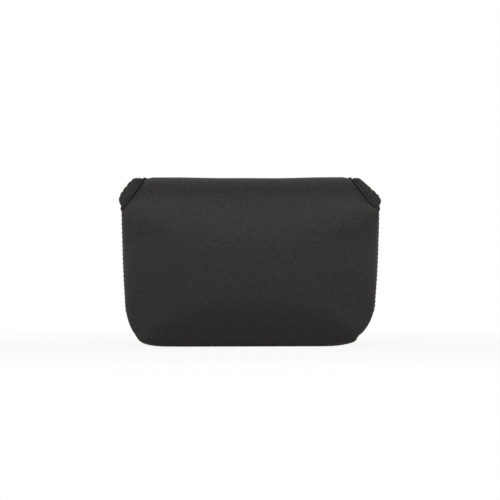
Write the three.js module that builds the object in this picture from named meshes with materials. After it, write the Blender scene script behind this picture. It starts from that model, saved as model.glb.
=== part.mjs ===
// A neoprene lens pouch with a fold-over lip, standing on its base, as an assembly of named solids.
// Millimetres, +Z up. The plain rear face looks along -Y and the origin is the middle of the base.
import * as THREE from "three";

// Overall sizes
const POUCH_HEIGHT = 100; // base to the crest of the top fold
const BODY_WIDTH = 152; // over both side seams, at the foot of the shoulders
const BELLY_DEPTH = 33; // over both faces at the belly
const BELLY_HEIGHT = 50; // where the faces are at their fullest
const SLOPE_START = 54; // from here on they go back to the top, at mid width
const SLOPE_POWER = 1.25; // how late they do so
const SLOPE_LEAST = 0.7; // share of that slope's height left at the sides
const BASE_DEPTH = 9; // over both faces at the base, before its edges are rounded
const BASE_ROUND = 4; // height of the rounding between the base and the faces
const BASE_EASE = 1.2; // depth of that rounding on each face
const BASE_SHORT = 4; // the base panel ends this far inside the lower corners
const LEAN_HEIGHT = 25; // the faces lean out over the base under an arc of this height
const LEAN_WIDTH = 136; // and of this length
const LEAN_POWER = 3; // roundness of the arc
const LEAN_BEND = 8; // softness of the bend along the arc
const LEAN_CREASE = 1.5; // and at its ends

// Outline seen from the rear
const SIDE_LEAN = 2; // how much each side leans in from the shoulder down to the lower corner
const CORNER_WIDTH = 24; // lower corners are quarter ellipses
const CORNER_HEIGHT = 28;
const SHOULDER_RISE = 19; // height of the diagonal shoulders, from their foot to the crest
const CREST_WIDTH = 122; // length of the top fold between the shoulders
const BELLY_POWER = 2.6; // roundness of the faces from seam to seam at the belly
const CROWN_START = 60; // above this height it changes
const CROWN_POWER = 4.5; // to that of the top
const RIM_POWER = 10; // and below the belly only the rim is rounded
const SPREAD_POWER = 2.2; // how the upper slope gets shorter towards the sides

// Neoprene and fits
const SHEET = 3; // neoprene with jersey on both sides
const CLEARANCE = 0.3; // between neighbouring solids
const SLIP = 0.4; // between the front panel and the lip that lies on it
const MOUTH_GAP = 6; // opening between the panels at the mouth

// Seams
const SEAM_WIDTH = 2.6; // overlocked allowance outside the panels
const SEAM_FOOT = 18; // below this height the allowance is turned in
const SEAM_FULL = 32; // above this height it has its full width
const SEAM_START = 0.35; // share of the way between them at which the strip begins
const SEAM_PITCH = 2.6; // one overlock stitch
const SEAM_RIPPLE = 0.35; // how far the edge swells between stitches
const SEAM_EDGE = 0.6; // share of the thickness left at an overlocked edge
const SEAM_ROUND = 0.3; // share of the width by which its corners fall back
const SHOULDER_SET = 4.5; // how far the gathers at the shoulders draw the seam towards the rear
const SET_FOOT = 60; // from this height
const SET_FULL = 83; // to this one
const MOUTH_SET = 0.45; // share of it that the front panel's edge keeps at the mouth
const PURL_RADIUS = 0.7; // thread bead along the lip's edge
const MOUTH_BEAD = 2; // height of the overlock on the mouth edge
const MOUTH_DROP = 0.6; // mouth edge below the middle of the fold

// Lip
const LIP_DEPTH = 32; // crest to the lowest point of the free edge
const LIP_POWER = 2.6; // roundness of the free edge

// Ears
const EAR_LENGTH = 22.4; // along the shoulder, from its foot
const EAR_WIDTH = 6.6; // furthest reach outside the shoulder
const EAR_THICKNESS = 6.3;
const EAR_SCALLOPS = 6;
const EAR_RIPPLE = 0.5;
const EAR_EDGE = 0.45; // share of the thickness left at the rim
const EAR_TAPER = 0.25; // share of the thickness lost at both ends
const EAR_TIP = 0.6; // width left at both ends

// Sizes that follow from these
const HALF_WIDTH = BODY_WIDTH / 2;
const HALF_CREST = CREST_WIDTH / 2;
const BASE_HALF = HALF_WIDTH - SIDE_LEAN - CORNER_WIDTH;
const SHOULDER_FOOT = POUCH_HEIGHT - SHOULDER_RISE;
const PARTING = CLEARANCE / 2;
const FOLD_RADIUS = (3 * SHEET + MOUTH_GAP + SLIP) / 2;
const FOLD_HEIGHT = POUCH_HEIGHT - FOLD_RADIUS;
const MOUTH_DEPTH = FOLD_RADIUS - SHEET - SLIP;
const MOUTH_TOP = FOLD_HEIGHT - MOUTH_DROP;
const SHOULDER_RUN = new THREE.Vector2(HALF_CREST - HALF_WIDTH, SHOULDER_RISE);
const SHOULDER_LENGTH = SHOULDER_RUN.length();
const ALONG_X = SHOULDER_LENGTH / SHOULDER_RUN.y; // a distance square to the shoulder, measured along X
const PURL_ROOM = PURL_RADIUS + CLEARANCE;

const NEOPRENE = new THREE.MeshStandardMaterial({ color: 0x333231, roughness: 0.9, metalness: 0 });
const THREAD = new THREE.MeshStandardMaterial({ color: 0x1d1d1c, roughness: 0.7, metalness: 0 });

const { clamp, lerp, smoothstep } = THREE.MathUtils;

// A closed solid: a box of nx by ny by nz cells whose surface points are moved to place(i, j, k)
function formedBox(nx, ny, nz, place) {
  const geometry = new THREE.BoxGeometry(nx, ny, nz, nx, ny, nz);
  const points = geometry.getAttribute("position");
  for (let n = 0; n < points.count; n += 1) {
    const i = Math.round(points.getX(n) + nx / 2);
    const j = Math.round(points.getY(n) + ny / 2);
    const k = Math.round(points.getZ(n) + nz / 2);
    const spot = place(i, j, k);
    points.setXYZ(n, spot.x, spot.y, spot.z);
  }
  return geometry;
}

function tube(path, steps, radius) {
  const section = new THREE.Shape();
  section.absarc(0, 0, radius, 0, 2 * Math.PI);
  return new THREE.ExtrudeGeometry(section, { steps, curveSegments: 6, extrudePath: path });
}

function named(name, geometry, material) {
  const mesh = new THREE.Mesh(geometry, material);
  mesh.name = name;
  return mesh;
}

// Place of a column from one seam to the other, closer together towards the seams
const across = (i, count) => Math.sin((Math.PI / 2) * ((2 * i) / count - 1));

// Half width of the pouch over its seams
function outlineHalf(z) {
  const sideFoot = BASE_HALF + CORNER_WIDTH;
  if (z < CORNER_HEIGHT) {
    return BASE_HALF + CORNER_WIDTH * cornerTurn(z);
  }
  if (z < SHOULDER_FOOT) {
    return lerp(sideFoot, HALF_WIDTH, (z - CORNER_HEIGHT) / (SHOULDER_FOOT - CORNER_HEIGHT));
  }
  return shoulderHalf(z);
}

function shoulderHalf(z) {
  return HALF_WIDTH + (SHOULDER_RUN.x * (z - SHOULDER_FOOT)) / SHOULDER_RUN.y;
}

// 0 where the lower corner leaves the base, 1 where it reaches the side
function cornerTurn(z) {
  return Math.sqrt(1 - Math.max(0, 1 - z / CORNER_HEIGHT) ** 2);
}

// 0 in the lower corners, where the panels butt, and 1 where their edges lie side by side in the seam
const seamShare = (z) => smoothstep(z, SEAM_FOOT, SEAM_FULL);

const seamHalf = (z) => PARTING + SHEET * seamShare(z);

// 1 at mid width and 0 at the seams
const fullness = (u, power) => Math.sqrt(Math.max(0, 1 - Math.abs(u) ** power));

// The two faces differ in their side, in the depth at the top, in the room left along the shoulder and in its gathers
const REAR = { sign: -1, topDepth: FOLD_RADIUS, shoulderRoom: PURL_ROOM, topSet: 1 };
const FRONT = { sign: 1, topDepth: MOUTH_DEPTH, shoulderRoom: CLEARANCE, topSet: MOUTH_SET };

const seamSet = (z) => SHOULDER_SET * smoothstep(z, SET_FOOT, SET_FULL);

const edgeSet = (face, z) => seamSet(z) * lerp(1, face.topSet, smoothstep(z, SET_FULL, FOLD_HEIGHT));

// Depth of a face at its edge
const edgeHalf = (face, z) => seamHalf(z) - face.sign * edgeSet(face, z);

function panelHalf(face, z) {
  if (z >= SHOULDER_FOOT) {
    return shoulderHalf(z) - face.shoulderRoom * ALONG_X;
  }
  return outlineHalf(z) - (SEAM_WIDTH + CLEARANCE) * seamShare(z);
}

// From the belly up a face goes back to the top, over less height towards the sides
function upperDepth(face, u, z) {
  const spread = Math.max(SLOPE_LEAST, fullness(u, SPREAD_POWER));
  const start = lerp(FOLD_HEIGHT, SLOPE_START, spread);
  const share = clamp((z - start) / (FOLD_HEIGHT - start), 0, 1) ** SLOPE_POWER;
  return lerp(BELLY_DEPTH / 2, face.topDepth, smoothstep(share, 0, 1));
}

// The arc from corner to corner under which the faces lean out over the base
const leanTop = (x) => LEAN_HEIGHT * Math.max(0, 1 - Math.abs((2 * x) / LEAN_WIDTH) ** LEAN_POWER);

function lowerDepth(x, z) {
  const top = leanTop(x);
  const slope = (BELLY_DEPTH - BASE_DEPTH) / 2 / LEAN_HEIGHT;
  const bend = lerp(LEAN_CREASE, LEAN_BEND, top / LEAN_HEIGHT);
  const under = (top - z + Math.hypot(top - z, bend)) / 2;
  const low = Math.max(0, 1 - z / BASE_ROUND);
  return BASE_DEPTH / 2 + slope * (top - under) - BASE_EASE * (1 - Math.sqrt(1 - low ** 2));
}

function faceDepth(face, u, z) {
  const x = u * panelHalf(face, z);
  const edge = edgeHalf(face, z);
  const power = lerp(BELLY_POWER, CROWN_POWER, smoothstep(z, CROWN_START, FOLD_HEIGHT));
  const lower = lerp(edge, lowerDepth(x, z), fullness(u, RIM_POWER));
  const upper = lerp(edge, upperDepth(face, u, z), fullness(u, power));
  return lerp(lower, upper, smoothstep(z, leanTop(x), BELLY_HEIGHT));
}

function outerPoint(face, u, z) {
  return new THREE.Vector3(u * panelHalf(face, z), face.sign * faceDepth(face, u, z), z);
}

function innerPoint(face, u, z) {
  const lift = SHEET * Math.max(0, 1 - z / BELLY_HEIGHT) ** 2;
  const half = panelHalf(face, z) - SHEET * (1 - seamShare(z)) * cornerTurn(z);
  const least = PARTING - face.sign * edgeSet(face, z + lift);
  const depth = Math.max(least, faceDepth(face, u, z + lift) - SHEET);
  return new THREE.Vector3(u * half, face.sign * depth, z + lift);
}

// Heights of a panel's rows from the base to its top edge, with one on each side of the shoulder's foot
function panelRows(top) {
  const low = 13;
  const high = 7;
  const shoulder = 3;
  const seamTop = SHOULDER_FOOT - SEAM_PITCH / 2;
  const rows = [];
  for (let n = 0; n < low; n += 1) {
    rows.push(BELLY_HEIGHT * (1 - Math.cos(((n / low) * Math.PI) / 2)));
  }
  for (let n = 0; n <= high; n += 1) {
    rows.push(lerp(BELLY_HEIGHT, seamTop, n / high));
  }
  for (let n = 0; n <= shoulder; n += 1) {
    rows.push(lerp(SHOULDER_FOOT, top, n / shoulder));
  }
  return rows;
}

function panel(face, top) {
  const columns = 18;
  const rows = panelRows(top);
  return formedBox(columns, 1, rows.length - 1, (i, j, k) => {
    const outside = (j === 0) === (face === REAR);
    return (outside ? outerPoint : innerPoint)(face, across(i, columns), rows[k]);
  });
}

// The base fills the opening between the lower edges of the panels
function basePanel() {
  const columns = 18;
  const reach = BASE_HALF - BASE_SHORT;
  return formedBox(columns, 1, 1, (i, j, k) => {
    const x = reach * across(i, columns);
    const u = x / BASE_HALF;
    const half = -Math.max(outerPoint(REAR, u, 0).y, innerPoint(REAR, u, 0).y) - CLEARANCE;
    return new THREE.Vector3(x, half * (2 * j - 1), SHEET * k);
  });
}

// Side seam: a strip along the panels' edges, rounded outside and rippled by its stitches
function sideOverlock() {
  const foot = lerp(SEAM_FOOT, SEAM_FULL, SEAM_START);
  const top = SHOULDER_FOOT - SEAM_PITCH / 2;
  const stitches = Math.round((top - foot) / SEAM_PITCH);
  const steps = 3;
  return formedBox(2, 2, stitches * steps, (i, j, k) => {
    const z = lerp(foot, top, k / (stitches * steps));
    const inside = panelHalf(REAR, z) + CLEARANCE;
    const swell = SEAM_RIPPLE * Math.sin((Math.PI * (k % steps)) / steps);
    const outside = outlineHalf(z) - SEAM_RIPPLE + swell;
    const edge = i === 2 ? SEAM_EDGE : 1;
    const round = i === 2 && j !== 1 ? SEAM_ROUND : 0;
    const x = lerp(inside, outside - round * (outside - inside), i / 2);
    return new THREE.Vector3(x, seamHalf(z) * edge * (j - 1) - seamSet(z), z);
  });
}

// Free edge of the lip: a superellipse that leaves the crest at the shoulders
function lipEdge(angle) {
  const power = 2 / LIP_POWER;
  const half = HALF_CREST - PURL_ROOM * ALONG_X;
  return new THREE.Vector2(half * Math.cos(angle) ** power, LIP_DEPTH * Math.sin(angle) ** power);
}

// Angle on the free edge at a depth below the crest
const lipAngle = (drop) => Math.asin((drop / LIP_DEPTH) ** (LIP_POWER / 2));

// Where the underside of the lip lies
function lipSeat(x, z) {
  return outerPoint(FRONT, x / panelHalf(FRONT, z), z).y + SLIP;
}

function lipPanel() {
  const columns = 14;
  const rows = 7;
  const start = lipAngle(FOLD_RADIUS + PARTING);
  const corner = THREE.MathUtils.degToRad(50); // from here on the free edge is the last row
  const end = lipEdge(corner);
  const half = lipEdge(0).x;
  return formedBox(columns, 1, rows, (i, j, k) => {
    const u = across(i, columns);
    const share = k / rows;
    const edge = lipEdge(lerp(start, corner, share));
    const lowest = LIP_DEPTH * (1 - Math.abs((u * end.x) / half) ** LIP_POWER) ** (1 / LIP_POWER);
    const x = u * edge.x;
    const z = POUCH_HEIGHT - edge.y - share * (lowest - end.y);
    return new THREE.Vector3(x, lipSeat(x, z) + SHEET * (1 - j), z);
  });
}

// Top fold: half an ellipse from the rear panel over to the lip at every column
function foldPoint(u, angle, inset) {
  const rear = angle < Math.PI / 2;
  const crestZ = FOLD_HEIGHT + FOLD_RADIUS * Math.sin(angle);
  const z = crestZ - inset * Math.sin(angle);
  const front = lipEdge(lipAngle(POUCH_HEIGHT - crestZ)).x;
  const x = u * (rear ? panelHalf(REAR, crestZ) : front);
  const reach = rear ? -outerPoint(REAR, u, FOLD_HEIGHT).y : lipSeat(x, FOLD_HEIGHT) + SHEET;
  return new THREE.Vector3(x, -(reach - inset) * Math.cos(angle), z);
}

function topFold() {
  const columns = 18;
  const turns = 10;
  const start = Math.asin(PARTING / FOLD_RADIUS);
  return formedBox(columns, 1, turns, (i, j, k) => {
    const angle = lerp(start, Math.PI - start, k / turns);
    return foldPoint(across(i, columns), angle, SHEET * j);
  });
}

// Bead over one end of the fold, from the shoulder to the lip
function foldPurl() {
  const steps = 10;
  const start = Math.asin(PARTING / FOLD_RADIUS);
  const spots = [];
  for (let n = 0; n <= steps; n += 1) {
    const spot = foldPoint(1, lerp(start, Math.PI - start, n / steps), PURL_RADIUS / 2);
    spots.push(new THREE.Vector3(spot.x + PURL_ROOM * ALONG_X, spot.y, spot.z));
  }
  return tube(new THREE.CatmullRomCurve3(spots), 2 * steps, PURL_RADIUS);
}

// Bead along the free edge of the lip, set off square to that edge
function lipPurl() {
  const steps = 24;
  const start = lipAngle(FOLD_RADIUS + CLEARANCE);
  const spots = [];
  for (let n = 0; n <= steps; n += 1) {
    const side = n < steps / 2 ? 1 : -1;
    const angle = lerp(Math.PI / 2, start, Math.abs((2 * n) / steps - 1));
    const here = lipEdge(angle);
    const run = lipEdge(angle + 0.001).sub(lipEdge(angle - 0.001)).normalize();
    const middle = 2 * n === steps;
    const x = middle ? 0 : side * (here.x + PURL_ROOM * run.y);
    const z = POUCH_HEIGHT - here.y + PURL_ROOM * (middle ? -1 : run.x);
    spots.push(new THREE.Vector3(x, lipSeat(x, z) + SHEET / 2, z));
  }
  return tube(new THREE.CatmullRomCurve3(spots), 3 * steps, PURL_RADIUS);
}

// Overlock on the mouth edge: a strip as thick as the panel below it, rounded on top
function mouthOverlock() {
  const columns = 22;
  return formedBox(columns, 2, 2, (i, j, k) => {
    const u = across(i, columns);
    const z = MOUTH_TOP - (MOUTH_BEAD * (2 - k)) / 2;
    const inner = innerPoint(FRONT, u, z);
    const outer = outerPoint(FRONT, u, z);
    const round = k === 2 ? SEAM_EDGE : 1;
    const middle = (inner.y + outer.y) / 2;
    return new THREE.Vector3(outer.x, middle + ((outer.y - inner.y) * round * (j - 1)) / 2, z);
  });
}

// Ear, in the shoulder's own axes: X up the shoulder, Y outwards, Z towards the front
function ear() {
  const steps = 4;
  const rim = EAR_SCALLOPS * steps;
  return formedBox(rim, 3, 2, (i, j, k) => {
    const turn = (Math.PI * i) / rim;
    const swell = EAR_RIPPLE * Math.sin((Math.PI * (i % steps)) / steps);
    const inside = k === 2 ? CLEARANCE : PURL_ROOM;
    const lobe = EAR_WIDTH - EAR_RIPPLE - EAR_TIP - PURL_ROOM;
    const outside = PURL_ROOM + EAR_TIP + lobe * Math.sin(turn) + swell;
    const round = j === 3 ? EAR_EDGE : 1 - EAR_TAPER * Math.cos(turn) ** 2;
    const along = (EAR_LENGTH * (1 - Math.cos(turn)) - SHOULDER_LENGTH) / 2;
    const depth = (EAR_THICKNESS / 2) * round * (k - 1) - SHOULDER_SET;
    return new THREE.Vector3(along, lerp(inside, outside, j / 3), depth);
  });
}

// Bead in the valley between the rear panel and the ear, from the side seam up to the fold
function shoulderPurl() {
  const steps = 6;
  const spots = [new THREE.Vector3(-SHOULDER_LENGTH / 2, 0, -seamSet(SHOULDER_FOOT) - PURL_ROOM)];
  for (let n = 1; n <= steps; n += 1) {
    const rise = ((FOLD_HEIGHT - CLEARANCE - SHOULDER_FOOT) * n) / steps;
    const along = (rise / SHOULDER_RISE - 1 / 2) * SHOULDER_LENGTH;
    spots.push(new THREE.Vector3(along, 0, PURL_RADIUS / 2 - edgeHalf(REAR, SHOULDER_FOOT + rise)));
  }
  return tube(new THREE.CatmullRomCurve3(spots), 3 * steps, PURL_RADIUS);
}

// One shoulder with its ear and bead and the side seam below it; the left one is the mirror image
function sideParts(label, mirror) {
  const along = new THREE.Vector3(SHOULDER_RUN.x, 0, SHOULDER_RUN.y).normalize();
  const outwards = new THREE.Vector3(SHOULDER_RUN.y, 0, -SHOULDER_RUN.x).normalize();
  const shoulder = new THREE.Group();
  shoulder.setRotationFromMatrix(
    new THREE.Matrix4().makeBasis(along, outwards, new THREE.Vector3(0, 1, 0)),
  );
  shoulder.position.set((HALF_WIDTH + HALF_CREST) / 2, 0, (SHOULDER_FOOT + POUCH_HEIGHT) / 2);
  shoulder.add(named(`${label}_ear`, ear(), NEOPRENE));
  shoulder.add(named(`${label}_shoulder_purl`, shoulderPurl(), THREAD));
  const side = new THREE.Group();
  side.add(shoulder);
  side.add(named(`${label}_fold_purl`, foldPurl(), THREAD));
  side.add(named(`${label}_side_overlock`, sideOverlock(), THREAD));
  side.scale.x = mirror;
  return side;
}

const pouch = new THREE.Group();
pouch.name = "lens_pouch";
pouch.add(named("rear_panel", panel(REAR, FOLD_HEIGHT - PARTING), NEOPRENE));
pouch.add(named("front_panel", panel(FRONT, MOUTH_TOP - MOUTH_BEAD - CLEARANCE), NEOPRENE));
pouch.add(named("base_panel", basePanel(), NEOPRENE));
pouch.add(sideParts("left", -1));
pouch.add(sideParts("right", 1));
pouch.add(named("mouth_overlock", mouthOverlock(), THREAD));
pouch.add(named("top_fold", topFold(), NEOPRENE));
pouch.add(named("lip_panel", lipPanel(), NEOPRENE));
pouch.add(named("lip_edge_purl", lipPurl(), THREAD));

export default pouch;
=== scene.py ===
import math

import bmesh
import bpy
from mathutils import Matrix, Vector, noise


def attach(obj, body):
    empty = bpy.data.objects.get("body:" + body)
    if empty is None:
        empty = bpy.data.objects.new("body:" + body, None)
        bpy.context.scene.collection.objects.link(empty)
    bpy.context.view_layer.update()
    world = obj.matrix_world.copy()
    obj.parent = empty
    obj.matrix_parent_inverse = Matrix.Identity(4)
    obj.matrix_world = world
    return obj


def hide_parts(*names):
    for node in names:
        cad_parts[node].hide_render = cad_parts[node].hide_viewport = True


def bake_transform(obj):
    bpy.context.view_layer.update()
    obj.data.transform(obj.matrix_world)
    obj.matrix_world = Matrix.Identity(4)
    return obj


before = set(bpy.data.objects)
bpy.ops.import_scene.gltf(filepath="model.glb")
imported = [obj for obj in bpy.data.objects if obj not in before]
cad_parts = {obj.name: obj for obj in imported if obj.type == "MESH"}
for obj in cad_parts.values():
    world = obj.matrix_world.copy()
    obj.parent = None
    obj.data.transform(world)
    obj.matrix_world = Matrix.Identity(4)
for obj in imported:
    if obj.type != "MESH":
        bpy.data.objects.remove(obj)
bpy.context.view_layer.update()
scene = bpy.context.scene
scene.view_settings.view_transform = "Standard"

# Sizes in millimetres, as the part has them
MM = 0.001
POUCH_HEIGHT = 100.0
HALF_WIDTH = 76.0
HALF_CREST = 61.0
CORNER_HEIGHT = 28.0
SHOULDER_RISE = 19.0
SHEET = 3.0
STITCH = 2.6
# The belly, and the slope from there to the top
BELLY_HALF = 16.5
BELLY_HEIGHT = 50.0
SLOPE_START = 54.0
SLOPE_POWER = 1.25
SLOPE_LEAST = 0.7
# The base, and the arc under which the face leans out over it
BASE_HALF_DEPTH = 4.5
BASE_ROUND = 4.0
BASE_EASE = 1.2
LEAN_HEIGHT, LEAN_HALF, LEAN_POWER = 25.0, 68.0, 3.0
LEAN_BEND, LEAN_CREASE = 8.0, 1.5
# How full the faces are at the top, at the belly, along the foot of the slope and in the lower part
CROWN_POWER, BELLY_POWER, SPREAD_POWER, RIM_POWER = 4.5, 2.6, 2.2, 10.0
CROWN_START = 60.0
# The roll at the top, the mouth under it, and the lip that lies on the front
FOLD_RADIUS = 7.7
MOUTH_DEPTH = 4.3
MOUTH_DROP = 0.6
LIP_DEPTH = 32.0
LIP_POWER = 2.6
LIP_CORNER = math.radians(50)
SLIP = 0.4
# The heights at which the side seam begins and is full
SEAM_FOOT, SEAM_FULL = 18.0, 32.0

HALF_SHEET = SHEET / 2
SHOULDER_FOOT = POUCH_HEIGHT - SHOULDER_RISE
SHOULDER_RUN = HALF_WIDTH - HALF_CREST
SHOULDER_LENGTH = math.hypot(SHOULDER_RUN, SHOULDER_RISE)
FOLD_HEIGHT = POUCH_HEIGHT - FOLD_RADIUS
MOUTH_TOP = FOLD_HEIGHT - MOUTH_DROP

# How the sewn edges sit: cloth pressed by the stitches, drawn to the rear at the shoulders, with room
# for the threads
PRESSED_EDGE = 2.3
SHOULDER_SET = 5.2
SET_FOOT, SET_FULL = 60.0, 83.0
MOUTH_SET = 0.45
EDGE_ROOM = 0.3
BEAD_ROOM = 0.3
# How narrow the strip is that follows the edge's step at the shoulder's foot, and how far up and down the
# cloth inside it evens the step out
EDGE_POWER = 40
FOOT_EASE = 5.0
# The least distance of the inner surface from the seam
LEAST_DEPTH = 0.1
# Slow waves in the padding: their height, their closeness, and what sets the two faces apart
WAVE, WAVE_CLOSE, WAVE_APART = 0.25, 0.028, 7.0
# Roundness of the top fold's rear half: the face bends late and quickly
ROLL_POWER = 3.0

LEFT, RIGHT = -1, 1
REAR, FRONT = -1, 1
OUTER, INNER = 0, 1
SIDES = ((LEFT, "left"), (RIGHT, "right"))
# Sewn by hand and filled, the two sides differ a little.
# Half width of the base, power and root of the lower corner's curve
CORNER_FORM = {LEFT: (44.0, 2.0, 3.75), RIGHT: (44.1, 1.98, 2.48)}
# The bulge just over the base, as amount, height and reach
CORNER_BULGE = {LEFT: (1.75, 2.0, 3.0), RIGHT: (2.75, 2.3, 2.05)}
# The depth of the nick above it, its height and its reach
CORNER_NICK = {LEFT: 0.0, RIGHT: 0.4}
NICK_HEIGHT, NICK_REACH = 6.1, 1.2
# Half width at the shoulder's foot, and how far and how late the side leans in below it
SIDE_FORM = {LEFT: (75.75, 1.6), RIGHT: (75.92, 2.15)}
SIDE_POWER = 2.2
# The crest lies low in the middle, rises to both ends, is lower on the right and dips beside the beads
CREST_LOW = 0.42
CREST_RISE, RISE_FROM, RISE_TO = 0.5, 14.0, 46.0
RIGHT_DROP, DROP_FROM, DROP_TO = 0.14, -6.0, 16.0
CREST_DIP = {LEFT: 0.65, RIGHT: 0.6}
DIP_REACH = 4.0
# Radius of the thread bead, how deep it sits in the cloth's edge and how far it stands off the face
BEAD = {LEFT: 0.34, RIGHT: 0.38}
BEAD_SEAT = 0.08
BEAD_LIFT = 0.2
# The bead's distance outside the straight shoulder line at its foot and top, its bow between them and the
# hook at its foot, and how far up the hook reaches and how softly it bends
BEAD_LINE = {LEFT: (-1.12, 0.38, 0.12, 0.0), RIGHT: (-2.7, -1.95, 0.0, 1.15)}
HOOK_SHARE, HOOK_EASE = 0.27, 0.15
# How far the bead's knobs stand out and up from the shoulder's foot and from the crest, and their radii
FOOT_KNOB = {LEFT: (-0.3, -0.45), RIGHT: (-0.1, -0.4)}
CREST_KNOB = {LEFT: (1.22, -0.28), RIGHT: (0.85, -0.42)}
FOOT_KNOB_RADIUS, CREST_KNOB_RADIUS = 0.58, 0.75
# The ear's reach and roundness towards the foot and towards the crest, its width and how that grows
EAR_FORM = {LEFT: (10.05, 3.2, 10.7, 4.0, 6.38, 0.0), RIGHT: (10.2, 3.4, 12.2, 12.0, 4.05, -0.185)}
EAR_MIDDLE = -0.5
EAR_FOOT = 11.9
EAR_TOP = {LEFT: 99.68, RIGHT: 99.3}
# Where the edge stitches pull the ear in, along the shoulder
EAR_NOTCHES = {LEFT: (4.7, 0.75, -3.05, -6.2), RIGHT: (-0.35, -3.95, -7.0)}


def lerp(a, b, share):
    return a + (b - a) * share


def smooth(value, low, high):
    share = min(1.0, max(0.0, (value - low) / (high - low)))
    return share * share * (3 - 2 * share)


def side_of(u):
    return LEFT if u < 0 else RIGHT


# The pouch's form

def crown(u, z):
    """How full a face is between the seams: rounder at the belly than at the top."""
    power = lerp(BELLY_POWER, CROWN_POWER, smooth(z, CROWN_START, FOLD_HEIGHT))
    return math.sqrt(max(0.0, 1 - abs(u) ** power))


def rim(u):
    """The same in the lower part, where only the edge is rounded."""
    return math.sqrt(max(0.0, 1 - abs(u) ** RIM_POWER))


def spread(u):
    """How far down the upper slope reaches: less towards the sides, as in a pillow."""
    return max(SLOPE_LEAST, math.sqrt(max(0.0, 1 - abs(u) ** SPREAD_POWER)))


def corner_turn(side, z):
    """How far the lower corner's curve has gone out, from 0 at the base to 1 where the side begins."""
    power, root = CORNER_FORM[side][1:]
    return (1 - max(0.0, 1 - z / CORNER_HEIGHT) ** power) ** (1 / root)


def bead_out(side, along):
    """How far the bead lies outside the straight shoulder line."""
    foot, top, bow, hook = BEAD_LINE[side]
    share = along / SHOULDER_LENGTH + 0.5
    near = 1 - share / HOOK_SHARE
    hooked = hook * (near + math.hypot(near, HOOK_EASE)) / 2
    return lerp(foot, top, share) - 4 * bow * share * (1 - share) + hooked


def shoulder(along, out):
    """Half width and height of a place along the shoulder, measured from its middle, and out from it."""
    x = (HALF_WIDTH + HALF_CREST) / 2 + (SHOULDER_RISE * out - SHOULDER_RUN * along) / SHOULDER_LENGTH
    z = POUCH_HEIGHT - SHOULDER_RISE / 2 + (SHOULDER_RISE * along + SHOULDER_RUN * out) / SHOULDER_LENGTH
    return x, z


def bead_half(side, z):
    """Half width at the bead, found in a few steps along the shoulder."""
    along = 0.0
    for _ in range(6):
        along += z - shoulder(along, bead_out(side, along))[1]
    return shoulder(along, bead_out(side, along))[0]


def outline_half(side, z):
    if z >= SHOULDER_FOOT:
        return bead_half(side, z)
    side_height = SHOULDER_FOOT - CORNER_HEIGHT
    half, lean = SIDE_FORM[side]
    if z >= CORNER_HEIGHT:
        return half - lean * ((SHOULDER_FOOT - z) / side_height) ** SIDE_POWER
    amount, height, extent = CORNER_BULGE[side]
    bulge = amount * math.exp(-(((z - height) / extent) ** 2))
    nick = CORNER_NICK[side] * math.exp(-(((z - NICK_HEIGHT) / NICK_REACH) ** 2))
    return lerp(CORNER_FORM[side][0], half - lean, corner_turn(side, z)) + bulge - nick


def seam_share(z):
    return smooth(z, SEAM_FOOT, SEAM_FULL)


def seam_set(face, z):
    """How far the gathers draw a face's edge to the rear; at the mouth the front keeps less of it."""
    kept = 1.0 if face == REAR else lerp(1.0, MOUTH_SET, smooth(z, SET_FULL, FOLD_HEIGHT))
    return SHOULDER_SET * smooth(z, SET_FOOT, SET_FULL) * kept


def seam_half(face, z):
    return PRESSED_EDGE * seam_share(z) - face * seam_set(face, z)


def panel_half(side, z):
    room = EDGE_ROOM * seam_share(z) if z < SHOULDER_FOOT else BEAD_ROOM
    return outline_half(side, z) - room


def even_half(side, z):
    """Half width of the cloth inside its edge, without the step at the shoulder's foot."""
    low, high = SHOULDER_FOOT - FOOT_EASE, SHOULDER_FOOT + FOOT_EASE
    if not low < z < high:
        return panel_half(side, z)
    below = outline_half(side, min(z, SHOULDER_FOOT - 0.01))
    return lerp(below, bead_half(side, z), smooth(z, low, high)) - BEAD_ROOM


def upper_depth(face, u, z):
    """Depth from the belly up, where the face goes back to the top."""
    start = lerp(FOLD_HEIGHT, SLOPE_START, spread(u))
    share = min(1.0, max(0.0, (z - start) / (FOLD_HEIGHT - start)))
    top = FOLD_RADIUS if face == REAR else MOUTH_DEPTH
    return lerp(BELLY_HALF, top, smooth(share ** SLOPE_POWER, 0, 1))


def lean_top(x):
    """The arc from corner to corner under which the face leans out over the base."""
    return LEAN_HEIGHT * max(0.0, 1 - abs(x / LEAN_HALF) ** LEAN_POWER)


def lower_depth(x, z):
    """Depth under that arc, with a soft bend along it and a round at the base."""
    top = lean_top(x)
    slope = (BELLY_HALF - BASE_HALF_DEPTH) / LEAN_HEIGHT
    bend = lerp(LEAN_CREASE, LEAN_BEND, top / LEAN_HEIGHT)
    under = (top - z + math.hypot(top - z, bend)) / 2
    low = max(0.0, 1 - z / BASE_ROUND)
    return BASE_HALF_DEPTH + slope * (top - under) - BASE_EASE * (1 - math.sqrt(1 - low * low))


def reach(face, u, z):
    """How far the outer surface stands off the seam plane."""
    seam = seam_half(face, z)
    x = u * panel_half(side_of(u), z)
    lower = seam + (lower_depth(x, z) - seam) * rim(u)
    upper = seam + (upper_depth(face, u, z) - seam) * crown(u, z)
    return lerp(lower, upper, smooth(z, lean_top(x), BELLY_HEIGHT))


def give(face, x, z):
    """Slow waves of a few tenths of a millimetre in the padding."""
    return WAVE * noise.noise(Vector((x * WAVE_CLOSE, face * WAVE_APART, z * WAVE_CLOSE)))


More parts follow.
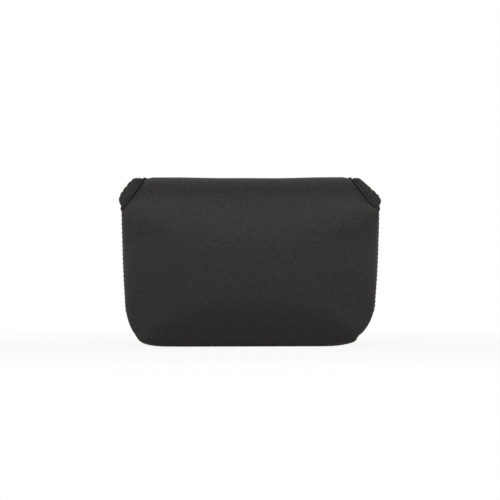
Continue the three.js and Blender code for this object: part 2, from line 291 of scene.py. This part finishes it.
def wall(face, u, z, layer):
    """A place on the rear or front face: u runs from seam to seam, from -1 to 1."""
    side = side_of(u)
    half = even_half(side, z)
    edge = math.copysign(abs(u) ** EDGE_POWER, u) * (panel_half(side, z) - half)
    wave = give(face, u * half, z) * crown(u, z)
    if layer == OUTER:
        return Vector((u * half + edge, face * (reach(face, u, z) + wave), z))
    lift = SHEET * max(0.0, 1 - z / BELLY_HEIGHT) ** 2
    half -= SHEET * (1 - seam_share(z)) * corner_turn(side, z)
    depth = max(LEAST_DEPTH - face * seam_set(face, z + lift), reach(face, u, z + lift) - SHEET)
    return Vector((u * half + edge, face * (depth + wave), z + lift))


def base(face, u, share, layer):
    """A place on one half of the base, from its middle at 0 to the face at 1."""
    edge = wall(face, u, 0.0, layer)
    return Vector((edge.x, edge.y * share, edge.z))


LIP_HALF = {side: panel_half(side, POUCH_HEIGHT) for side in (LEFT, RIGHT)}


def lip_edge(side, angle):
    """Half width and drop of the lip's free edge below the crest."""
    return (
        LIP_HALF[side] * math.cos(angle) ** (2 / LIP_POWER),
        LIP_DEPTH * math.sin(angle) ** (2 / LIP_POWER),
    )


def lip_angle(drop):
    return math.asin(min(1.0, (drop / LIP_DEPTH) ** (LIP_POWER / 2)))


# Where the lip's edge leaves the roll
LIP_ROOT = lip_angle(FOLD_RADIUS)


def lip_seat(x, z):
    """How far forward the lip's inner side lies on the front."""
    u = min(1.0, abs(x) / even_half(side_of(x), z))
    return reach(FRONT, u, z) + SLIP


def crest_shift(x):
    """How far the top edge is off its level."""
    side = side_of(x)
    end = LIP_HALF[side]
    rise = CREST_RISE * smooth(abs(x), RISE_FROM, RISE_TO)
    level = rise - CREST_LOW - RIGHT_DROP * smooth(x, DROP_FROM, DROP_TO)
    return level - CREST_DIP[side] * smooth(abs(x), end - DIP_REACH, end)


def fold(u, angle, layer):
    """The roll at the top, from the rear panel at 0 over the crest to the lip at pi."""
    inset = SHEET if layer == INNER else 0.0
    crest = FOLD_HEIGHT + FOLD_RADIUS * math.sin(angle)
    rear = angle <= math.pi / 2
    turned = (1 - math.sin(angle) ** ROLL_POWER) ** (1 / ROLL_POWER) if rear else -math.cos(angle)
    side = side_of(u)
    half = panel_half(side, crest) if rear else lip_edge(side, lip_angle(POUCH_HEIGHT - crest))[0]
    out = reach(REAR, u, FOLD_HEIGHT) if rear else lip_seat(u * half, FOLD_HEIGHT) + SHEET
    wave = give(REAR if rear else FRONT, u * half, crest) * crown(u, crest) * turned
    out = max(LEAST_DEPTH, out - inset)
    z = crest + (crest_shift(u * half) - inset) * math.sin(angle)
    return Vector((u * half, (out + wave) * (-turned if rear else turned), z))


def lip(u, share, layer):
    """A place on the lip, from the end of the roll at 0 to the free edge at 1."""
    side = side_of(u)
    half, drop = lip_edge(side, lerp(LIP_ROOT, LIP_CORNER, share))
    end_half, end_drop = lip_edge(side, LIP_CORNER)
    lowest = LIP_DEPTH * (1 - abs(u * end_half / LIP_HALF[side]) ** LIP_POWER) ** (1 / LIP_POWER)
    x = u * half
    z = POUCH_HEIGHT - drop - share * (lowest - end_drop)
    y = lip_seat(x, z) + (SHEET if layer == OUTER else 0.0) + give(FRONT, x, z) * crown(u, z)
    return Vector((x, y, z))


# Making pieces

SHARP_EDGE = math.radians(55)


def shown(name, mesh, material):
    mesh.materials.append(material)
    piece = bpy.data.objects.new(name, mesh)
    scene.collection.objects.link(piece)
    return piece


def sheet_piece(name, columns, rows, place, material):
    """An outer and an inner grid, formed by place(u, row, layer) and joined round the edge."""
    bm = bmesh.new()
    spots = {}
    places = {}
    for layer in (OUTER, INNER):
        made = bmesh.ops.create_grid(bm, x_segments=columns, y_segments=len(rows) - 1, size=1.0)
        for v in made["verts"]:
            i = round((v.co.x + 1) / 2 * columns)
            j = round((v.co.y + 1) / 2 * (len(rows) - 1))
            spots[v] = (i, j)
            v.co = place(math.sin(math.pi / 2 * (2 * i / columns - 1)), rows[j], layer) * MM
            if layer == OUTER:
                places[(i, j)] = v.co.copy()
    bmesh.ops.bridge_loops(bm, edges=[e for e in bm.edges if e.is_boundary])
    bmesh.ops.recalc_face_normals(bm, faces=bm.faces)
    # The cut's own measure: across at the widest row, and up along the middle
    across, up = [0.0], [0.0]
    widest = max(range(len(rows)), key=lambda j: places[(columns, j)].x)
    for i in range(columns):
        across.append(across[-1] + (places[(i + 1, widest)] - places[(i, widest)]).length)
    for j in range(len(rows) - 1):
        up.append(up[-1] + (places[(columns // 2, j + 1)] - places[(columns // 2, j)]).length)
    cut = bm.loops.layers.uv.new("cut")
    for f in bm.faces:
        f.smooth = True
        for corner in f.loops:
            i, j = spots[corner.vert]
            corner[cut].uv = (across[i], up[j])
    mesh = bpy.data.meshes.new(name)
    bm.to_mesh(mesh)
    bm.free()
    mesh.set_sharp_from_angle(angle=SHARP_EDGE)
    return shown(name, mesh, material)


def thread_piece(name, runs, knots, material):
    """Threads as round tubes along runs of (points, radius), and small knots of (place, radius)."""
    curve = bpy.data.curves.new(name, "CURVE")
    curve.dimensions = "3D"
    curve.bevel_depth = MM
    curve.bevel_resolution = 1
    curve.resolution_u = 2
    curve.use_fill_caps = True
    for points, radius in runs:
        spline = curve.splines.new("NURBS")
        spline.points.add(len(points) - 1)
        spline.order_u = 3
        spline.use_endpoint_u = True
        for spot, point in zip(spline.points, points):
            spot.co = (*(point * MM), 1.0)
            spot.radius = radius
    line = bpy.data.objects.new(name, curve)
    scene.collection.objects.link(line)
    bpy.context.view_layer.update()
    mesh = bpy.data.meshes.new_from_object(line.evaluated_get(bpy.context.evaluated_depsgraph_get()))
    bpy.data.objects.remove(line)
    bpy.data.curves.remove(curve)
    bm = bmesh.new()
    bm.from_mesh(mesh)
    for place, radius in knots:
        seat = Matrix.Translation(place * MM)
        bmesh.ops.create_icosphere(bm, subdivisions=2, radius=radius * MM, matrix=seat)
    for f in bm.faces:
        f.smooth = True
    bmesh.ops.recalc_face_normals(bm, faces=bm.faces)
    bm.to_mesh(mesh)
    bm.free()
    mesh.name = name
    mesh.materials.clear()
    return shown(name, mesh, material)


# Radius of the sewing thread, and how much thicker the chain along an edge is
THREAD = 0.24
CHAIN_WIDTH = 1.3
# One stitch, as share of its length with: how far the chain stands out, in threads; how far the loop
# lies in from the edge, in shares of the seam; how high the needle thread lies, in threads
CHAIN_PATH = ((0.0, 0.2), (0.25, 0.5), (0.5, 0.9), (0.75, 0.5))
LOOP_PATH = ((0.0, 1.0), (0.2, 0.55), (0.4, 0.15), (0.6, 0.15), (0.8, 0.55))
NEEDLE_PATH = ((0.1, -0.6), (0.3, 0.5), (0.7, 0.5), (0.9, -0.6))
LOOP_LIFT = 0.7
SEAM_WIDTH = 3.2


def edge_chain(at, stitches, knot):
    """The thread along a sewn edge, with a knot at each stitch. at(share, inset) is a place along the edge
    and in from it."""
    chain, knots = [], []
    for k in range(stitches):
        for part, out in CHAIN_PATH:
            chain.append(at((k + part) / stitches, -out * THREAD))
        knots.append((at((k + 0.5) / stitches, -THREAD), knot))
    return [(chain, CHAIN_WIDTH * THREAD)], knots


def overlock(at, stitches, knot):
    """An edge chain with the loops and the needle line on both faces of the cloth. at(share, inset, face,
    lift) is a place on one face or the other, raised off the cloth."""
    runs, knots = edge_chain(at, stitches, knot)
    for face in (REAR, FRONT):
        loops, needle = [], []
        for k in range(stitches):
            for part, inset in LOOP_PATH:
                loops.append(at((k + part) / stitches, inset * SEAM_WIDTH, face, THREAD * LOOP_LIFT))
            for part, lift in NEEDLE_PATH:
                needle.append(at((k + part) / stitches, SEAM_WIDTH, face, THREAD * lift))
        runs += [(loops, THREAD), (needle, THREAD)]
    return runs, knots


# Materials

# Pitch of the knit's columns and rows, in metres
WALE, COURSE = 0.00066, 0.00052
JERSEY_DARK = (0.0122, 0.01175, 0.0104)
JERSEY_LIGHT = (0.0384, 0.037, 0.0331)


class Finish:
    """A material under construction, with short calls for its nodes."""

    def __init__(self, name):
        self.material = bpy.data.materials.new(name)
        self.material.use_nodes = True
        self.tree = self.material.node_tree
        self.shader = self.tree.nodes["Principled BSDF"]

    def node(self, kind, **settings):
        made = self.tree.nodes.new(kind)
        for key, value in settings.items():
            setattr(made, key, value)
        return made

    def join(self, output, socket):
        self.tree.links.new(output, socket)

    def math(self, operation, *values):
        made = self.node("ShaderNodeMath", operation=operation)
        for socket, value in zip(made.inputs, values):
            if isinstance(value, (int, float)):
                socket.default_value = value
            else:
                self.join(value, socket)
        return made.outputs[0]

    def blend(self, first, first_share, second, second_share):
        """Two patterns added, each with its share."""
        first = self.math("MULTIPLY", first, first_share)
        return self.math("ADD", first, self.math("MULTIPLY", second, second_share))

    def ridges(self, place):
        """Ridges one unit apart."""
        return self.math("ABSOLUTE", self.math("SINE", self.math("MULTIPLY", place, math.pi)))

    def noise(self, place, scale, detail):
        made = self.node("ShaderNodeTexNoise")
        made.inputs["Scale"].default_value = scale
        made.inputs["Detail"].default_value = detail
        self.join(place, made.inputs["Vector"])
        return made.outputs["Fac"]

    def colours(self, share, *stops):
        made = self.node("ShaderNodeValToRGB")
        ramp = made.color_ramp
        while len(ramp.elements) < len(stops):
            ramp.elements.new(0.5)
        for element, (position, colour) in zip(ramp.elements, stops):
            element.position = position
            element.color = (*colour, 1.0)
        self.join(share, made.inputs["Fac"])
        self.join(made.outputs["Color"], self.shader.inputs["Base Color"])

    def rough(self, share, low, high):
        self.join(self.math("MULTIPLY_ADD", share, high - low, low), self.shader.inputs["Roughness"])

    def bump(self, height, distance):
        made = self.node("ShaderNodeBump")
        made.inputs["Strength"].default_value = 1.0
        made.inputs["Distance"].default_value = distance
        self.join(height, made.inputs["Height"])
        self.join(made.outputs["Normal"], self.shader.inputs["Normal"])


def jersey(name):
    """Fine black knit on foam: columns of small V loops, with a little fuzz."""
    finish = Finish(name)
    cut = finish.node("ShaderNodeSeparateXYZ")
    finish.join(finish.node("ShaderNodeUVMap", uv_map="cut").outputs["UV"], cut.inputs[0])
    place = finish.node("ShaderNodeTexCoord").outputs["Object"]
    wale = finish.math("MULTIPLY", cut.outputs["X"], 1 / WALE)
    course = finish.math("MULTIPLY", cut.outputs["Y"], 1 / COURSE)
    lean = finish.math("PINGPONG", wale, 0.5)
    loop = finish.ridges(finish.math("ADD", course, lean))
    leg = finish.ridges(finish.math("MULTIPLY", wale, 2.0))
    knit = finish.math("MULTIPLY", loop, finish.math("POWER", leg, 0.5))
    fuzz = finish.noise(place, 1900.0, 3.0)
    mottle = finish.noise(place, 900.0, 2.0)
    height = finish.blend(knit, 0.6, fuzz, 0.8)
    # The colour follows the height of the knit and fuzz, which paints shade into the hollows between the
    # loops. The mottle on top of that is random tone.
    shade = finish.blend(height, 0.2, mottle, 0.8)
    finish.colours(shade, (0.3, JERSEY_DARK), (0.72, JERSEY_LIGHT))
    finish.bump(height, 0.00012)
    finish.rough(mottle, 0.82, 0.94)
    finish.shader.inputs["Specular IOR Level"].default_value = 0.25
    finish.shader.inputs["Sheen Weight"].default_value = 0.2
    finish.shader.inputs["Sheen Roughness"].default_value = 0.4
    return finish.material


def yarn(name, dark, light, gloss):
    """Crimped black polyester sewing thread, between two greys."""
    finish = Finish(name)
    place = finish.node("ShaderNodeTexCoord").outputs["Object"]
    crimp = finish.noise(place, 2600.0, 2.0)
    drift = finish.noise(place, 300.0, 2.0)
    shade = finish.blend(crimp, 0.7, drift, 0.3)
    finish.colours(shade, (0.3, (dark, dark, 0.97 * dark)), (0.75, (light, light, 0.96 * light)))
    finish.bump(crimp, 0.00015)
    finish.rough(crimp, 0.66, 0.84)
    finish.shader.inputs["Specular IOR Level"].default_value = gloss
    return finish.material


neoprene = jersey("neoprene_jersey")
overlock_thread = yarn("overlock_thread", 0.007, 0.015, 0.25)
# The beads and the ear's needle stitches use a darker copy of the thread. The darkness is partly the black
# thread itself and partly painted shade of the crease they sit in.
bead_thread_painted_shade = yarn("bead_thread_painted_shade", 0.0045, 0.0095, 0.12)


# The sheets

COLUMNS = 96
BASE_STEPS, LOWER_STEPS, SIDE_STEPS, SHOULDER_STEPS, LIP_STEPS = 6, 28, 15, 13, 20
# The rows next to the step at the shoulder's foot stand this far off it
STEP_ROOM = 0.15
# The roll's rows, in degrees, closer together at the crest
ROLL_ANGLES = (8, 16, 24, 32, 40, 48, 56, 64, 72, 79, 85, 88.5, 90)


def wall_rows(top):
    """Heights from the base up, closer together at the base and along the shoulders."""
    lower = [BELLY_HEIGHT * (1 - math.cos(math.pi / 2 * n / LOWER_STEPS)) for n in range(LOWER_STEPS + 1)]
    side_top, shoulder_foot = SHOULDER_FOOT - STEP_ROOM, SHOULDER_FOOT + STEP_ROOM
    side = [lerp(BELLY_HEIGHT, side_top, n / SIDE_STEPS) for n in range(1, SIDE_STEPS + 1)]
    upper = [lerp(shoulder_foot, top, n / SHOULDER_STEPS) for n in range(SHOULDER_STEPS + 1)]
    return [(wall, z) for z in lower + side + upper]


def row_place(face):
    """Rows of base and wall lie on one face, and rows of fold and lip go from the rear to the front."""

    def place(u, row, layer):
        form, value = row
        return form(face, u, value, layer) if form in (base, wall) else form(u, value, layer)

    return place


base_rows = [(base, n / BASE_STEPS) for n in range(BASE_STEPS)]
rear_rows = base_rows + wall_rows(FOLD_HEIGHT) + [(fold, math.radians(a)) for a in ROLL_ANGLES]
front_rows = base_rows + wall_rows(MOUTH_TOP)
lip_rows = [(fold, math.radians(180 - a)) for a in reversed(ROLL_ANGLES)]
lip_rows += [(lip, n / LIP_STEPS) for n in range(LIP_STEPS + 1)]

rear_shell = sheet_piece("rear_shell", COLUMNS, rear_rows, row_place(REAR), neoprene)
front_shell = sheet_piece("front_shell", COLUMNS, front_rows, row_place(FRONT), neoprene)
lip_shell = sheet_piece("lip_shell", COLUMNS, lip_rows, row_place(FRONT), neoprene)


# The ears: the gathered corners outside the shoulders

EAR_COLUMNS, EAR_ROWS = 36, 96
# Half thickness of the free edge, the gap to the bead's line and the least width
EAR_EDGE, EAR_GAP, EAR_LEAST = 1.0, 0.25, 0.4
# The ear's narrow tail down to the shoulder's foot: full width, width at its end, growth and end
TAIL_FULL, TAIL_END, TAIL_GROWTH, TAIL_FOOT = 1.8, 0.6, 0.5, 12.15
# How wide a notch is, how deep it goes in and how much it pinches the cloth
NOTCH_REACH, NOTCH_DEPTH, NOTCH_PINCH = 0.6, 0.4, 0.25
# The band beside the bead: its width, its most in shares of the ear, its share of the columns and its swell
EAR_BAND, BAND_MOST, BAND_SHARE, BAND_SWELL = 1.1, 0.45, 0.4, 0.3
# The groove of the needle line that ends the band
GROOVE_DEPTH, GROOVE_REACH = 0.25, 0.28
# How much the seam presses the ear's root, how far the pad swells, and how that fades along the ear,
# across it and at its ends
ROOT_PRESSED, EAR_SWELL, SWELL_POWER, PAD_POWER, END_POWER = 0.1, 0.15, 0.7, 2.2, 10
# How softly the top is cut off level
TOP_EASE = 0.3


def ear_reach(side, along):
    """How far out the ear's free edge lies, and how much a stitch pulls at it."""
    foot, foot_power, top, top_power, width, growth = EAR_FORM[side]
    off = along - EAR_MIDDLE
    span, power = (top, top_power) if off > 0 else (foot, foot_power)
    full = (width + growth * off) * math.sqrt(max(0.0, 1 - (abs(off) / span) ** power))
    tail = min(TAIL_FULL, TAIL_END + TAIL_GROWTH * (along + TAIL_FOOT))
    pulled = sum(math.exp(-(((along - notch) / NOTCH_REACH) ** 2)) for notch in EAR_NOTCHES[side])
    return max(full, tail) - NOTCH_DEPTH * min(1.0, pulled), pulled


def ear(side, share, across, face, lift=0.0):
    """A place on the ear: share runs from the shoulder's foot at 0 to the crest at 1, across from the bead
    at 0 to the free edge at 1."""
    along = EAR_MIDDLE + lerp(-EAR_FOOT, EAR_FORM[side][2], (1 - math.cos(math.pi * share)) / 2)
    start = bead_out(side, along) + EAR_GAP
    end, pulled = ear_reach(side, along)
    width = max(EAR_LEAST, end - start)
    band = min(EAR_BAND, BAND_MOST * width)
    root = seam_half(face, shoulder(along, start)[1]) - ROOT_PRESSED + face * SHOULDER_SET
    if across < BAND_SHARE:
        off = band * across / BAND_SHARE
        half = root + BAND_SWELL * math.sqrt(max(0.0, 1 - (2 * off / band - 1) ** 2))
    else:
        rest = (across - BAND_SHARE) / (1 - BAND_SHARE)
        off = lerp(band, width, rest)
        swell = EAR_SWELL * math.sin(math.pi * share) ** SWELL_POWER * smooth(rest, 0.0, 0.5)
        half = EAR_EDGE + (root - EAR_EDGE + swell) * math.sqrt(1 - rest ** PAD_POWER)
        half -= NOTCH_PINCH * pulled * rest * rest
    half -= GROOVE_DEPTH * math.exp(-(((off - band) / GROOVE_REACH) ** 2))
    ends = math.sqrt(1 - abs(2 * share - 1) ** END_POWER)
    x, z = shoulder(along, start + off)
    over = z - EAR_TOP[side]
    z -= (over + math.hypot(over, TOP_EASE)) / 2
    return Vector((side * x, face * (lerp(EAR_EDGE, half, ends) + lift) - SHOULDER_SET, z))


ear_rows = [n / EAR_ROWS for n in range(EAR_ROWS + 1)]
ears = {}
for side, label in SIDES:

    def ear_place(u, share, layer):
        return ear(side, share, (1 + u) / 2, REAR if layer == OUTER else FRONT)

    ears[label] = sheet_piece(f"{label}_ear_pad", EAR_COLUMNS, ear_rows, ear_place, neoprene)


# The threads

SIDE_KNOT, MOUTH_KNOT, LIP_KNOT = 0.42, 0.45, 0.5
MOUTH_STITCHES, LIP_STITCHES, EAR_STITCHES = 46, 60, 12
# How far above the seam's foot a side's chain begins, and how far above the shoulder's foot it ends
CHAIN_FOOT, CHAIN_TOP = 2.0, 0.4
# How much of the mouth's width is overlocked
MOUTH_SHARE = 0.985
# A small step of angle along the lip's edge
TINY_TURN = 0.0001
# The bead's spots: along the shoulder, ending a little under the roll, and every few degrees on the roll
BEAD_SPOTS, BEAD_END, BEAD_TURN = 34, 0.3, 5
# The ear's needle line from its first to its last stitch, and one stitch, as shares along it with lifts
NEEDLE_FIRST, NEEDLE_LAST = 0.14, 0.88
EAR_NEEDLE = ((-0.02, -0.2), (-0.01, 0.15), (0.01, 0.15), (0.02, -0.2))
# The loop in each of the ear's notches, as shares across it, with its lift and radius
WRAP_PATH = (0.75, 0.85, 0.93, 0.98, 0.995)
WRAP_LIFT, WRAP_RADIUS = 0.04, 0.1


def seam_at(side):
    """Places along a side's edge, and how many stitches it has."""
    top, foot = SHOULDER_FOOT + CHAIN_TOP, SEAM_FOOT + CHAIN_FOOT

    def at(share, inset):
        z = lerp(foot, top, share)
        x = outline_half(side, z) - EDGE_ROOM - inset
        return Vector((side * x, -seam_set(REAR, z), z))

    return at, round((top - foot) / STITCH)


def mouth_at(share, inset, face=0, lift=0.0):
    u = lerp(-MOUTH_SHARE, MOUTH_SHARE, share)
    z = MOUTH_TOP - inset
    middle = (wall(FRONT, u, z, OUTER) + wall(FRONT, u, z, INNER)) / 2
    return middle + Vector((0, face * (HALF_SHEET + lift), 0))


def lip_at(share, inset, face=0, lift=0.0):
    side = LEFT if share < 0.5 else RIGHT
    turn = abs(2 * share - 1)
    angle = lerp(math.pi / 2 - TINY_TURN, LIP_ROOT, turn)
    half, drop = lip_edge(side, angle)
    ahead_half, ahead_drop = lip_edge(side, angle + TINY_TURN)
    run = Vector((ahead_half - half, ahead_drop - drop)).normalized()
    x = half - inset * run.y
    z = POUCH_HEIGHT - drop - inset * run.x
    y = lip_seat(side * x, z) + HALF_SHEET + face * (HALF_SHEET + lift)
    return Vector((side * x, y, z))


def fold_bead(side, start, end):
    """The bead over the end of the fold, between two angles in degrees."""
    spots = []
    for n in range(start, end + 1, BEAD_TURN):
        turn = math.radians(n)
        out = side * (BEAD[side] - BEAD_SEAT)
        off = Vector((out, -BEAD_LIFT * math.cos(turn), BEAD_LIFT * math.sin(turn)))
        spots.append(fold(side * 1.0, turn, OUTER) + off)
    return spots


def shoulder_bead(side):
    """The bead from its knob at the shoulder's foot up to the one at the crest."""
    out, up = FOOT_KNOB[side]
    z = SHOULDER_FOOT + up
    foot_knob = Vector((side * (SIDE_FORM[side][0] + out), -BEAD_LIFT - seam_half(REAR, z), z))
    bead = [foot_knob]
    for n in range(1, BEAD_SPOTS + 1):
        z = lerp(SHOULDER_FOOT, FOLD_HEIGHT - BEAD_END, n / BEAD_SPOTS)
        half = panel_half(side, z) + BEAD[side] - BEAD_SEAT
        bead.append(Vector((side * half, -BEAD_LIFT - seam_half(REAR, z), z)))
    bead += fold_bead(side, BEAD_TURN, 90)
    out, up = CREST_KNOB[side]
    crest_knob = bead[-1] + Vector((side * out, 0, up))
    bead.append(crest_knob)
    return [(bead, BEAD[side])], [(foot_knob, FOOT_KNOB_RADIUS), (crest_knob, CREST_KNOB_RADIUS)]


def ear_threads(side):
    """The needle line beside the bead, and a loop round the free edge in each notch."""
    runs = []
    for n in range(EAR_STITCHES):
        share = lerp(NEEDLE_FIRST, NEEDLE_LAST, n / (EAR_STITCHES - 1))
        stitch = [ear(side, share + step, BAND_SHARE, REAR, lift) for step, lift in EAR_NEEDLE]
        runs.append((stitch, THREAD))
    for notch in EAR_NOTCHES[side]:
        passed = (notch - EAR_MIDDLE + EAR_FOOT) / (EAR_FOOT + EAR_FORM[side][2])
        share = math.acos(1 - 2 * passed) / math.pi
        wrap = [ear(side, share, across, REAR, WRAP_LIFT) for across in WRAP_PATH]
        wrap += [ear(side, share, across, FRONT, WRAP_LIFT) for across in reversed(WRAP_PATH)]
        runs.append((wrap, WRAP_RADIUS))
    return runs, []


sewn = {}
for side, label in SIDES:
    chain = edge_chain(*seam_at(side), SIDE_KNOT)
    sewn[f"{label}_side"] = thread_piece(f"{label}_side_stitches", *chain, overlock_thread)
    sewn[f"{label}_bead"] = thread_piece(f"{label}_shoulder_bead", *shoulder_bead(side), bead_thread_painted_shade)
    sewn[f"{label}_ear"] = thread_piece(f"{label}_ear_stitches", *ear_threads(side), bead_thread_painted_shade)

mouth_threads = overlock(mouth_at, MOUTH_STITCHES, MOUTH_KNOT)
sewn["mouth"] = thread_piece("mouth_stitches", *mouth_threads, overlock_thread)
lip_threads = overlock(lip_at, LIP_STITCHES, LIP_KNOT)
sewn["lip"] = thread_piece("lip_edge_stitches", *lip_threads, overlock_thread)
front_beads = [(fold_bead(side, 90, 180), BEAD[side]) for side in (LEFT, RIGHT)]
sewn["fold"] = thread_piece("fold_bead", front_beads, [], bead_thread_painted_shade)


# What each piece moves with and stands for

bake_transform(rear_shell)
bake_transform(lip_shell)
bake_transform(sewn["lip"])
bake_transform(sewn["fold"])
for label in ("left", "right"):
    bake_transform(sewn[f"{label}_bead"])
    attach(sewn[f"{label}_side"], "pouch")
    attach(sewn[f"{label}_ear"], "pouch")
    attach(ears[label], "pouch")
    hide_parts(f"{label}_side_overlock")
    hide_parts(f"{label}_shoulder_purl", f"{label}_fold_purl")
    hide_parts(f"{label}_ear")
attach(front_shell, "pouch")
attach(sewn["mouth"], "pouch")
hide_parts("rear_panel", "base_panel")
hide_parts("front_panel")
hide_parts("lip_panel", "top_fold")
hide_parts("lip_edge_purl")
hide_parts("mouth_overlock")


# Floor, light and camera

AIM = Vector((0.0, 0.0, 0.05))
WHITE = (1.0, 1.0, 1.0, 1.0)
ROOM_LIGHT = 0.06
FLOOR_GREY = (0.4, 0.4, 0.4, 1.0)
FLOOR_HALF, FLOOR_DROP = 6.0, 0.0003


def soft_light(name, place, size, power):
    data = bpy.data.lights.new(name, "AREA")
    data.shape = "DISK"
    data.size = size
    data.energy = power
    lamp = bpy.data.objects.new(name, data)
    lamp.location = place
    lamp.rotation_euler = (AIM - Vector(place)).to_track_quat("-Z", "Y").to_euler()
    scene.collection.objects.link(lamp)


soft_light("key_light", (0.0, -1.05, 1.5), 1.0, 33.0)
soft_light("top_light", (0.0, 0.3, 1.3), 0.9, 3.0)
soft_light("left_light", (-1.3, 0.0, 0.3), 0.9, 2.5)
soft_light("right_light", (1.3, 0.0, 0.3), 0.9, 2.5)


def seen_white(tree, lit, plain, shine):
    """Mixes a white of strength 1 over lit, for what the camera and reflections see."""
    path = tree.nodes.new("ShaderNodeLightPath")
    first = tree.nodes.new("ShaderNodeMath")
    second = tree.nodes.new("ShaderNodeMath")
    share = tree.nodes.new("ShaderNodeMath")
    first.operation = second.operation = "MAXIMUM"
    share.operation = "MULTIPLY"
    if isinstance(shine, float):
        share.inputs[1].default_value = shine
    else:
        tree.links.new(shine, share.inputs[1])
    tree.links.new(path.outputs["Is Camera Ray"], first.inputs[0])
    tree.links.new(path.outputs["Is Glossy Ray"], first.inputs[1])
    tree.links.new(first.outputs[0], second.inputs[0])
    tree.links.new(path.outputs["Is Transmission Ray"], second.inputs[1])
    tree.links.new(second.outputs[0], share.inputs[0])
    mix = tree.nodes.new("ShaderNodeMixShader")
    tree.links.new(share.outputs[0], mix.inputs[0])
    tree.links.new(lit, mix.inputs[1])
    tree.links.new(plain, mix.inputs[2])
    return mix.outputs[0]


world = bpy.data.worlds.new("white_room")
world.use_nodes = True
scene.world = world
tree = world.node_tree
room = tree.nodes["Background"]
room.inputs["Color"].default_value = WHITE
room.inputs["Strength"].default_value = ROOM_LIGHT
white = tree.nodes.new("ShaderNodeBackground")
white.inputs["Color"].default_value = WHITE
white.inputs["Strength"].default_value = 1.0
seen = seen_white(tree, room.outputs[0], white.outputs[0], 1.0)
tree.links.new(seen, tree.nodes["World Output"].inputs[0])

bm = bmesh.new()
bmesh.ops.create_grid(bm, x_segments=2, y_segments=2, size=FLOOR_HALF)
floor_mesh = bpy.data.meshes.new("floor")
bm.to_mesh(floor_mesh)
bm.free()
paper = bpy.data.materials.new("white_paper")
paper.use_nodes = True
tree = paper.node_tree
matt = tree.nodes["Principled BSDF"]
matt.inputs["Base Color"].default_value = FLOOR_GREY
matt.inputs["Roughness"].default_value = 0.9
glow = tree.nodes.new("ShaderNodeEmission")
glow.inputs["Strength"].default_value = 1.0
spot = tree.nodes.new("ShaderNodeTexCoord")
away = tree.nodes.new("ShaderNodeVectorMath")
away.operation = "LENGTH"
tree.links.new(spot.outputs["Object"], away.inputs[0])
# Near the pouch the floor keeps some of its shadow, and further off it is plain white
fade = tree.nodes.new("ShaderNodeMapRange")
fade.interpolation_type = "SMOOTHSTEP"
fade.inputs["From Min"].default_value = 0.10
fade.inputs["From Max"].default_value = 0.40
fade.inputs["To Min"].default_value = 0.9
fade.inputs["To Max"].default_value = 1.0
tree.links.new(away.outputs["Value"], fade.inputs["Value"])
seen = seen_white(tree, matt.outputs[0], glow.outputs[0], fade.outputs[0])
tree.links.new(seen, tree.nodes["Material Output"].inputs[0])
floor_mesh.materials.append(paper)
floor = bpy.data.objects.new("floor", floor_mesh)
floor.location.z = -FLOOR_DROP
scene.collection.objects.link(floor)

lens = bpy.data.cameras.new("camera")
lens.sensor_width = 36.0
lens.lens = 194.8
lens.clip_end = 50.0
camera = bpy.data.objects.new("camera", lens)
camera.location = (-0.0002, -1.6, 0.057)
camera.rotation_euler = (math.pi / 2, math.radians(0.15), 0.0)
scene.collection.objects.link(camera)
scene.camera = camera

bpy.context.view_layer.update()
